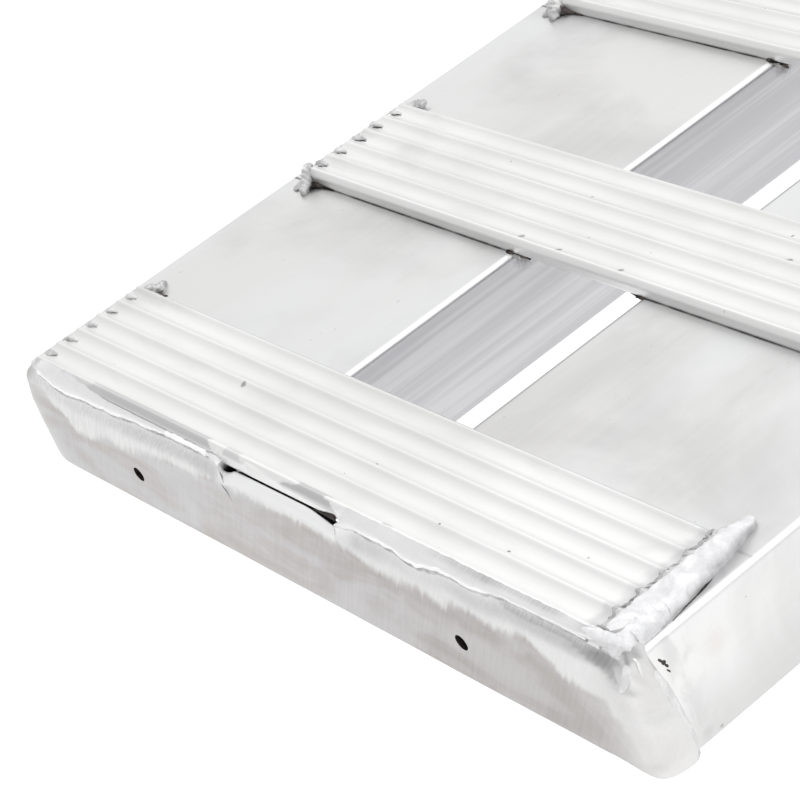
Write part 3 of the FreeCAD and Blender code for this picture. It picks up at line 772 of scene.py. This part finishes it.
def plate_line(x):
    """Points (y, z, light, dark) up the plate's front at x and over its top edge."""
    lip_back = lip_depth(x)
    lip_high = lip_height(x)
    top_z = DECK + BAND_TOP(x) + 0.3 * rough(x, 0, 0, 3, 11)
    by_slot = smooth(SLOT_LEFT - 8, SLOT_LEFT + 1, x) * (1 - smooth(SLOT_RIGHT - 1, SLOT_RIGHT + 10, x))
    lip_back += (0.5 - lip_back) * by_slot
    top_y = RUNG_BACK - 0.15 + 1.75 * smooth(DECK + RUNG_EDGE - 0.6, DECK + RUNG_TOP, top_z)
    in_slot = smooth(SLOT_LEFT - 0.5, SLOT_LEFT + 0.3, x)
    in_slot *= 1 - smooth(SLOT_RIGHT - 0.3, SLOT_RIGHT + 0.5, x)
    crest = DECK - 0.6 - 2.6 * (1 - smooth(SLOT_LEFT, SLOT_LEFT + 7, x))
    crest -= 3.2 * smooth(SLOT_RIGHT - 17, SLOT_RIGHT, x)
    # Painted shadow at the slot's ends: grey below its left end, fainter toward its right end
    slot_shadow = 0.5 * (1 - smooth(SLOT_LEFT + 2, SLOT_LEFT + 24, x))
    slot_shadow += 0.2 * smooth(SLOT_RIGHT - 14, SLOT_RIGHT, x)
    comb = smooth(218, 232, x) * (1 - smooth(278, 286, x)) * (0.38 + 0.2 * rough(x, 0, 0, 6, 31))
    shade = 0.35 + 0.35 * rough(x, 0, 0, 7, 17)
    weld = [(lip_back + 0.2, lip_high - 1, 1, 0), (lip_back + 0.35, lip_high - 0.5, 1, 0.1 + shade),
            (lip_back - 0.15, lip_high - 0.15, 1.6, 0), (lip_back - 0.1, lip_high + 0.35, 2, 0)]
    for k in (0.2, 0.4, 0.6, 0.8, 0.92, 1):
        bulge = (0.3 + 0.5 * smooth(1.5, 4, top_z - DECK)) * math.sin(math.pi * k ** 0.8)
        weld.append((lip_back + 0.05 + (top_y - lip_back - 0.05) * k - bulge,
                     lip_high + 0.4 + (top_z - lip_high - 0.4) * k,
                     1.8 - 0.2 * k, comb * smooth(0.45, 0.75, k)))
    weld.append((top_y + 1.2, top_z - 0.9, 1.5, comb))
    # Past the slot's crest the points are painted black, as painted shade under the rung
    hole = [(0.35, crest - 3.4, 1.7, 0), (0.75, crest - 2, 1.9, 0), (1.3, crest - 0.9, 2, 0),
            (1.8, crest - 0.25, 2, 0.5 * slot_shadow), (2.1, crest - 0.05, 2, slot_shadow), (2.35, crest, 1.8, slot_shadow),
            (2.6, crest - 0.2, 1, 1), (2.8, crest - 0.6, 1, 1),
            (3, crest - 1, 1, 1), (3.6, crest - 1.8, 1, 1), (PLATE, crest - 1.8, 1, 1)]
    crown = [tuple(a + (b - a) * in_slot for a, b in zip(one, two)) for one, two in zip(weld, hole)]
    line = []
    for k in range(FACE_LEVELS + 1):
        z = 0.02 + (crown[0][1] - 0.5) * k / FACE_LEVELS
        back, light = face_point(x, z, crown[0][0] - 0.25, crown[0][1] + 0.9)
        sag = 0.55 * smooth(130, 250, x) * (1 - smooth(0, 4, z))
        light += 0.75 * by_slot * smooth(30.5, 34.5, z + 1.2 * rough(x, 0, 0, 5, 41))
        edge = 0.5 * (1 - smooth(0.3, 1.1, z)) * smooth(-0.1, 0.5, rough(x, 0, 0, 9, 43))
        line.append((back, z - sag, light, edge))
    for y, z, light, dark in crown:
        # Points at the slot's back are painted dark as well, as painted shade
        line.append((y, z, light, max(dark, smooth(0.02, 0.3, in_slot) if y > 2.45 else 0)))
    # The hollow by the right corner adds its painted shade
    return [(y, z, light, max(dark, 0.38 * hollow(x, y, z))) for y, z, light, dark in line]


def slot_lean(x, z):
    """Sideways lean of the slot's two ends."""
    near = max(1 - abs(x - SLOT_LEFT) / 4, 1 - abs(x - SLOT_RIGHT) / 4, 0)
    return 0.5 * near * max(-6, min(2, z - DECK)) * smooth(28, 32, z)


# Plan outlines of the two upright corner beads, from the front face round to the rail's side:
# {height: [(x, y), ...]}
RIGHT_CORNER = {height: list(zip(xs, ys)) for height, xs, ys in (
    (-0.5, (283, 292, 298.5, 302.8, 305.3, 306.2, 306.2, 304.5), (0.4, 0.3, 0.4, 1.3, 4.2, 7.6, 11, 13.6)),
    (1.5, (283, 292, 299.5, 303.8, 306, 307, 307, 304.6), (0.05, 0.05, 0.1, 1.1, 4.2, 8, 11.6, 13.6)),
    (4, (283, 293, 300, 304.4, 306.6, 307.5, 307.6, 304.6), (0, 0, 0.3, 2, 5.4, 9.2, 11.9, 13.6)),
    (15, (283, 292, 299, 303.8, 306.2, 307.2, 307.4, 304.6), (0, 0, 0.3, 1.7, 5.2, 8.4, 10.8, 12.4)),
    (27, (283, 291, 298, 303, 305, 306.2, 306.8, 304.6), (0.2, 0.4, 0.3, 1, 4.4, 7.2, 9, 10.8)),
    (33, (283, 291, 296.5, 300.6, 304, 304.6, 306, 304.6), (0.9, 1.4, 2.2, 1.9, 1.8, 4.8, 7.6, 9.8)),
    (37, (283, 289, 294, 299, 303.6, 304.6, 305.4, 304.4), (1.8, 2.6, 3.8, 4, 3, 5.4, 7.4, 9.4)),
    (40, (283, 289, 294, 298, 301.6, 303.4, 303.8, 303.6), (2.4, 3, 4, 4.4, 4.4, 6, 7.4, 9.4)),
    (43, (283, 289, 292, 295, 297.5, 299, 299.4, 299.4), (3.2, 3.8, 4.4, 5, 5.8, 7.6, 9, 10.4)))}
# Left corner: (height, outermost x, y of the front, corner radius)
LEFT_ARCS = ((-0.5, 0.2, 0.6, 3.5), (1.5, -1, 0, 3.5), (4.5, -1.9, 0, 3.5), (15, -2.5, 0, 3.5),
             (25, -2.2, 0, 3.5), (31.5, -0.3, 0.1, 3.6), (35, 0.4, 0.3, 3.8), (37.5, 1.8, 1.3, 3.8),
             (40, 4.6, 2.2, 3.6), (43.5, 8.2, 3.6, 3.2))
ON_ARC = 0.293                  # where a quarter arc's middle lies, as a part of its radius
LEFT_CORNER = {
    height: [(14, front), (x + r + 3, front), (x + r, front), (x + ON_ARC * r, front + ON_ARC * r),
             (x, front + r), (x, front + r + 2.5), (x + 0.8, 11.6), (max(0.6, x + 1.6), 13)]
    for height, x, front, r in LEFT_ARCS
}


def corner_point(outlines, along, z):
    """(x, y) on a corner bead at height z; along runs from 0 at the front face to 1 at the rail's side."""
    heights = sorted(outlines)
    z = min(heights[-1], max(heights[0], z))
    upper = next(i for i, height in enumerate(heights) if z <= height or height == heights[-1])
    lower = max(0, upper - 1)
    span = heights[upper] - heights[lower]
    mix = (z - heights[lower]) / span if span else 0
    places = [tuple(a + (b - a) * mix for a, b in zip(one, two))
              for one, two in zip(outlines[heights[lower]], outlines[heights[upper]])]
    place = along * (len(places) - 1)
    i = min(len(places) - 2, int(place))
    return between(places, i, place - i)


def corner_line(kind, along, start):
    """Points (x, y, z, light, dark) up a corner bead and over the plate's top edge."""
    outlines = LEFT_CORNER if kind == "left" else RIGHT_CORNER
    turned = smooth(0, 0.35, along)
    line = []
    for y, z, light, dark in plate_line(start):
        corner_x, corner_y = corner_point(outlines, along, z)
        wave = 0.22 * rough(corner_x, corner_y, z, 7, 1) + 0.1 * rough(corner_x, corner_y, z, 2.6, 6)
        flat = plate_line_at(corner_x, z, y)
        px = corner_x + wave * turned * (1 if kind == "right" else -1) * along
        py = flat + (corner_y - flat) * turned - wave * turned * (1 - along)
        light = max(light, zone_light(corner_x, z), turned) * (1 - 0.3 * turned)
        if kind == "right":
            drop = -0.6 * turned * (1 - smooth(0, 3, z))
            # The hollow by the right corner adds its painted shade
            dark = 0.42 * hollow(px, py, z)
        else:
            drop = -4 * smooth(0.1, 0.85, along) * smooth(36, 43, z)
            dark = 0
        line.append((px, py, z + drop, light, dark))
    return line


def ground_plate():
    """End plate with the weld ground over its top, rounded corner beads, and the slot."""
    rows = []
    values = []
    left_start = LEFT_CORNER[15][0][0]
    right_start = RIGHT_CORNER[15][0][0]
    front = round((right_start - left_start) / 0.75)
    stations = [("left", 1 - i / CORNER) for i in range(CORNER)]
    stations += [("front", left_start + (right_start - left_start) * i / front) for i in range(front + 1)]
    stations += [("right", (i + 1) / CORNER) for i in range(CORNER)]
    for kind, value in stations:
        if kind == "front":
            line = [(value + slot_lean(value, point[1]), *point) for point in plate_line(value)]
            back_x = value
        else:
            line = corner_line(kind, value, left_start if kind == "left" else right_start)
            back_x = min(WIDTH - 3, max(3, line[20][0]))
        base = (back_x, PLATE + (0 if kind == "front" else 0.4), 0.5, 0, 0)
        top = line[-1]
        roof = smooth(0, 0.3, value) if kind == "left" else 0
        tip_x = min(WIDTH - 3.5, max(3.5, top[0]))
        tip_x += (RUNG_IN + 1 - tip_x) * roof
        whole = [base, *line, (tip_x, max(PLATE, top[1]) + 0.02, top[2] - 1.2 + roof, roof, 0)]
        rows.append([row(point[:3]) for point in whole])
        values += [point[3:] for point in whole]
    verts = [point for line in rows for point in line]
    piece = make_piece("ground_end_plate_ground", verts, skin(rows), [PLATE_METAL], "lower_half")
    keep_values(piece, "light", [light for light, _ in values])
    keep_values(piece, "dark", [dark for _, dark in values])
    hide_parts("ground_end_plate")
    return piece


def plate_line_at(x, z, lip_y):
    """Y of the flat front carried on under a corner bead."""
    back, _ = face_point(x, z, 0, DECK + 8)
    return max(back, lip_y if z > 30 else back)


def drill(piece, x, z, radius):
    """Cut a round vent hole through the plate."""
    bm = bmesh.new()
    bmesh.ops.create_cone(bm, cap_ends=True, segments=40, radius1=radius * MM, radius2=radius * MM,
                          depth=4 * PLATE * MM)
    bmesh.ops.rotate(bm, verts=bm.verts, matrix=Matrix.Rotation(math.pi / 2, 3, "X"))
    bmesh.ops.translate(bm, verts=bm.verts, vec=row((x, PLATE / 2, z)))
    mesh = bpy.data.meshes.new("drill")
    bm.to_mesh(mesh)
    bm.free()
    # The hole's walls take the sooty weld material, as painted shade of the dark rail inside
    for material in (PLATE_METAL, SOOT_WELD):
        mesh.materials.append(material)
    mesh.polygons.foreach_set("material_index", [1] * len(mesh.polygons))
    tool = add_object("drill", mesh)
    cut = piece.modifiers.new("vent", "BOOLEAN")
    cut.operation = "DIFFERENCE"
    cut.solver = "EXACT"
    cut.object = tool
    depsgraph = bpy.context.evaluated_depsgraph_get()
    result = bpy.data.meshes.new_from_object(piece.evaluated_get(depsgraph))
    piece.modifiers.clear()
    piece.data = result
    bpy.data.objects.remove(tool)


plate = ground_plate()
# A slot for the vent holes' painted shade
plate.data.materials.append(SOOT_WELD)
for vent_x in (60, 228):
    drill(plate, vent_x, 14.6, 2.6)


def ridged(y):
    """Depth of the first rung's scallop at y, below its ridges."""
    along = (y - RUNG_BACK - 1.75) % RIDGE - RIDGE / 2
    return SCALLOP * (1 - (2 * along / RIDGE) ** 2)


def ground_end_welds():
    """The first rung's right end, and a bright ribbon along the ground weld's front edge as a painted
    highlight, with a grey bead under it as painted shadow.

    The right end has a wide bead, ground flush with the ridges and torn at its edges, over the corner.
    """
    welds = Welds("ground_end_welds", "lower_half")
    inner_edge = curve([(2.6, 297), (5, 294.6), (9, 292.8), (14, 292.6), (42, 292.6), (50, 292.4),
                        (59.5, 292.4)])
    outer_foot = curve([(2.6, 301.5), (5, 303.4), (9, 303.6), (14, 303.2), (22, 302.2), (32, 301),
                        (42, 299.6), (49, 298), (55, 296.4), (59.5, 294.8)])
    points = []
    for k in range(52):
        y = 2.6 + 57 * k / 51
        inner = inner_edge(y) + 0.9 * rough(0, y, 0, 1.7, 3) * smooth(5, 9, y)
        outer = outer_foot(y) + 0.3 * rough(0, y, 0, 2.5, 6)
        lift = 4.7 * (1 - smooth(46, 60, y)) + 1.5 * smooth(46, 60, y) - 1.6 * (1 - smooth(2, 9, y))
        points.append(((inner + outer) / 2, y, DECK + 0.6, (outer - inner) * 1.04, lift))
    welds.bead(points, GROUND_WELD, 3, 0.02, 0.05, 0.6, 36, 3, (0.16, 0, 1), 1.7)
    welds.bead([(281, 3.6, 42, 0.8, 0.2), (286, 4, 42.1, 1.6, 0.5), (292.5, 4.2, 41.8, 3, 1.4),
                (295.5, 4.2, 41.2, 3.8, 2), (298.5, 4.6, 40.6, 4.2, 2.4), (301.5, 5.6, 39.4, 4, 2)],
               GROUND_WELD, 2.4, 0.10, 0.25, 0.5, 16, 12, (0, -0.4, 1))
    welds.bead([(292.4, 5.4, 43.4, 0.3, 0.1), (294.6, 5.7, 43.4, 0.8, 0.25), (297.4, 6, 42.7, 0.3, 0.1)],
               DULL_WELD, 1.2, 0.2, 0.5, 0.3, 8, 14)
    torn = []
    for k in range(58):
        y = 5 + k * 0.75
        dip = ridged(y) if y < RUNG_BACK + RUNG_DEPTH - 1.75 else 0.4
        x = inner_edge(y) - 0.55 + 0.9 * rough(0, y, 0, 1.7, 3) + 0.3 * rough(0, y, 0, 0.8, 5)
        torn.append((x, y, DECK + RUNG_TOP - dip - 0.05, 1.3 + 1.1 * rough(0, y, 0, 1.1, 7), 0.13))
    welds.bead(torn, TORN_WELD, 1, 0.2, 0.5, 0.35, 8, 33)
    for k in range(11):
        y = 6 + k * 3.9 + 1.6 * rough(k, 0, 0, 1.7, 2)
        x = 292.4 + 0.5 * rough(0, y, 0, 3, 2)
        z = DECK + RUNG_TOP - ridged(y) - 0.12
        size = 0.3 + 0.8 * abs(rough(0, y, 0, 2.3, 5))
        welds.bead([(x - 0.9, y - 0.6, z, size * 0.7, 0.2), (x, y, z, size, 0.3),
                    (x + 0.6, y + 1, z + 0.1, size * 0.6, 0.2)], DULL_WELD, 1, 0.2, 0.6, 0.3, 8, 4 + k)
    welds.bead([(303.4, 20, DECK, 0.2, 0.06), (302.6, 25, DECK, 0.4, 0.12), (301.9, 30, DECK, 0.5, 0.2),
                (301.3, 33.5, DECK, 0.6, 0.25), (300.6, 37, DECK, 0.2, 0.08)],
               SOOT_WELD, 1.5, 0.2, 0.6, 0.4, 10, 7)
    for k, (y, z, size) in enumerate(((11.6, 32, 0.7), (12.4, 30.8, 1.1), (13, 29.4, 0.8), (13, 27.6, 0.5))):
        welds.bead([(305, y - 0.5, z + 0.6, size * 0.6, 0.1), (305, y, z, size, 0.2),
                    (305, y + 0.3, z - 0.9, size * 0.5, 0.1)],
                   SOOT_WELD, 1, 0.3, 0.7, 0.3, 8, 60 + k, (1, 0, 0))
    welds.bead([(306, 8.4, 31.5, 1.4, 0.2), (306.6, 9.6, 25, 2.6, 0.5), (307, 10.8, 15, 2.6, 0.45),
                (307, 11.6, 7, 2.4, 0.45), (306.6, 12.4, 2, 1.4, 0.2)],
               PLATE_WELD, 5, 0.04, 0.2, 0.6, 10, 9, (1, 0.25, 0))
    welds.bead([(304.5, 2.6, 37.4, 1.6, 0.25), (303.6, 2, 34, 2.6, 0.4), (301.6, 1.1, 30, 2.2, 0.25),
                (299.6, 0.6, 27.5, 1, 0.1)], PLATE_WELD, 5, 0.04, 0.2, 0.6, 10, 19, (0.3, -1, 0))
    for start, stop in ((13.5, 113), (188, 290)):
        ribbon = []
        shadow = []
        count = round((stop - start) / 1.1)
        for k in range(count + 1):
            x = start + (stop - start) * k / count
            y = lip_depth(x)
            z = lip_height(x)
            broad = 1.7 + 0.6 * rough(x, 0, 0, 5, 51)
            if start > SLOT_RIGHT:
                broad *= 0.3 + 0.7 * smooth(186, 198, x) * (1 - smooth(242, 252, x))
            ribbon.append((x, y + 0.25, z + 0.3, broad, 0.5))
            fade = 1.1 + 0.6 * rough(x, 0, 0, 11, 53)
            shadow.append((x, y + 0.1, z - 0.15 - broad / 2, 1.2 * fade, 0.26))
        # Painted highlight: the bright ribbon; painted shadow: the grey bead under it
        welds.bead(ribbon, LIP_HIGHLIGHT_WELD, 3, 0.05, 0.25, 0.6, 12, 50, (0, -1, 0.6))
        welds.bead(shadow, LIP_SHADOW_WELD, 3, 0.05, 0.4, 0.6, 8, 51, (0, -1, 0.3))
    # Painted shadow: a near-black bead along the rung's front bottom edge, widening toward the slot's right end
    welds.bead([(168, 2.5, 37.8, 0.4, 0.1), (173, 2.4, 38.1, 1.2, 0.15), (177, 2.4, 38.5, 2, 0.2),
                (179.6, 2.4, 38.8, 2.8, 0.2)], SLOT_END_SHADOW, 3, 0.05, 0.3, 0.6, 10, 55, (0, -1, 0.2))
    welds.finish()


ground_end_welds()


def seam(welds, start, stop, up, width, height, seed):
    """A plain bead along a straight line."""
    start = Vector(start)
    stop = Vector(stop)
    count = max(3, round((stop - start).length / 7))
    points = []
    for k in range(count + 1):
        place = start.lerp(stop, k / count)
        swell = 1 + 0.25 * rough(*place, 9, seed)
        points.append((*place, width * swell, height * swell))
    welds.bead(points, RAW_WELD, 2.6, 0.12, 0.2, 0.9, 10, seed, up)


def cross_plate_welds(name, body, y, toward):
    """Beads where a plate across the ramp closes both rails: outside, below, and in the inner walls' corners.

    toward is 1 where the rails run on along Y from the plate, and -1 where they run back.
    """
    welds = Welds(name, body)
    for x, out in ((0, -1), (WIDTH, 1)):
        seam(welds, (x, y, 3), (x, y, DECK - 2.5), (out, 0, 0), 4.2, 0.9, y * 0.01 + out)
        corner_x = RAIL_IN if out < 0 else WIDTH - RAIL_IN
        seam(welds, (corner_x, y, 2.5), (corner_x, y, DECK - 2), (-out, toward, 0), 4.4, 2, y * 0.02 + out)
        end_x = x - out * RAIL_IN
        seam(welds, (x - out * 4, y, 0), (end_x + out * 4, y, 0), (0, 0, -1), 4.2, 0.8, y * 0.03 + out)
    return welds


def lip_welds(welds):
    """Beads along the lip's flat seat on top of the rails."""
    low, high = (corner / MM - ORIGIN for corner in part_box("lip_plate"))
    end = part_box("upper_end_plate")[1].y / MM - ORIGIN.y
    for x, out in ((low.x, -1), (high.x, 1)):
        seam(welds, (x, low.y + 17, DECK), (x, end - 3, DECK), (out, 0, 1), 4.6, 2.4, 5 + out)
        start_x = x - out * 17
        stop_x = RAIL_IN - 4 if out < 0 else WIDTH - RAIL_IN + 4
        seam(welds, (start_x, low.y, DECK), (stop_x, low.y, DECK), (0, -1, 1), 4.6, 2.4, 8 + out)


lower_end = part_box("lower_left_rail")[1].y / MM - ORIGIN.y
upper_start, upper_end = (corner.y / MM - ORIGIN.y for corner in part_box("upper_left_rail"))
cross_plate_welds("lower_hinge_welds", "lower_half", lower_end, -1).finish()
cross_plate_welds("upper_hinge_welds", "upper_half", upper_start, 1).finish()
top_welds = cross_plate_welds("upper_end_welds", "upper_half", upper_end, -1)
lip_welds(top_welds)
top_welds.finish()


# ---- CAD nodes' finish

def dress(node, material):
    mesh = NODES[node].data
    mesh.materials.clear()
    mesh.materials.append(material)


for node in NODES:
    if node in RUNG_NODES or node == "ground_end_plate":
        dress(node, RUNG_METAL)
    elif node.startswith("hinge_"):
        dress(node, STEEL)
    elif node.endswith("_pad"):
        dress(node, RUBBER)
    elif node in ("lip_plate", "lip_rivets", "upper_end_plate"):
        dress(node, LIP_METAL)
    elif node.startswith("lower"):
        dress(node, LOWER_RAIL)
    else:
        dress(node, UPPER_RAIL)


# ---- camera, light and floor

def aim(obj, place, forward, up):
    forward = Vector(forward).normalized()
    right = forward.cross(Vector(up)).normalized()
    true_up = right.cross(forward)
    turn = Matrix((right, true_up, -forward)).transposed()
    obj.matrix_world = Matrix.Translation(place) @ turn.to_4x4()


camera = add_object("camera", bpy.data.cameras.new("camera"))
camera.data.lens = 132.3
camera.data.clip_end = 50
aim(camera, row((813.9, -282.2, 480.3)), (-0.76829, 0.38428, -0.51191), (-0.25245, 0.553, 0.79402))
bpy.context.scene.camera = camera


# The metal mirrors only the soft room and the floor, so neither light shows as a glare from any side
for name, place, target, size, power in (("key", (1.9, 0.9, 2.9), (0, -0.7, 0), 2.2, 40),
                                         ("fill", (1, -3.4, 4), (-0.6, -0.2, -1.3), 3, 165)):
    light = bpy.data.lights.new(name, "AREA")
    light.size = size
    light.energy = power
    softbox = add_object(name, light)
    softbox.visible_glossy = False
    aim(softbox, Vector(place), Vector(target) - Vector(place), (0, 0, 1))

world = bpy.data.worlds.new("studio")
bpy.context.scene.world = world
world.use_nodes = True
nodes = world.node_tree.nodes
links = world.node_tree.links
toward = nodes.new("ShaderNodeVectorMath")
toward.operation = "DOT_PRODUCT"
toward.inputs[1].default_value = (-0.08, 0.46, 0.16)
links.new(nodes.new("ShaderNodeTexCoord").outputs["Generated"], toward.inputs[0])
level = nodes.new("ShaderNodeMath")
level.operation = "ADD"
level.inputs[1].default_value = 0.80
links.new(toward.outputs["Value"], level.inputs[0])
links.new(level.outputs[0], nodes["Background"].inputs["Strength"])
nodes["Background"].inputs["Color"].default_value = (1, 1, 1, 1)

FLOOR_Z = -1.35
FLOOR_REACH = 60
floor_mesh = bpy.data.meshes.new("floor")
bm = bmesh.new()
bmesh.ops.create_grid(bm, x_segments=4, y_segments=4, size=FLOOR_REACH)
bmesh.ops.translate(bm, verts=bm.verts, vec=(0, 0, FLOOR_Z))
bm.to_mesh(floor_mesh)
bm.free()
floor = add_object("floor", floor_mesh)
floor_paint = Paint("floor", metallic=0)
floor_tone = floor_paint.noise(0.6, detail=2)
floor_color = floor_paint.mix(floor_tone, 0.93, 0.95)
floor_mesh.materials.append(floor_paint.finish(floor_color, 0.9))

bpy.context.scene.view_settings.view_transform = "Standard"
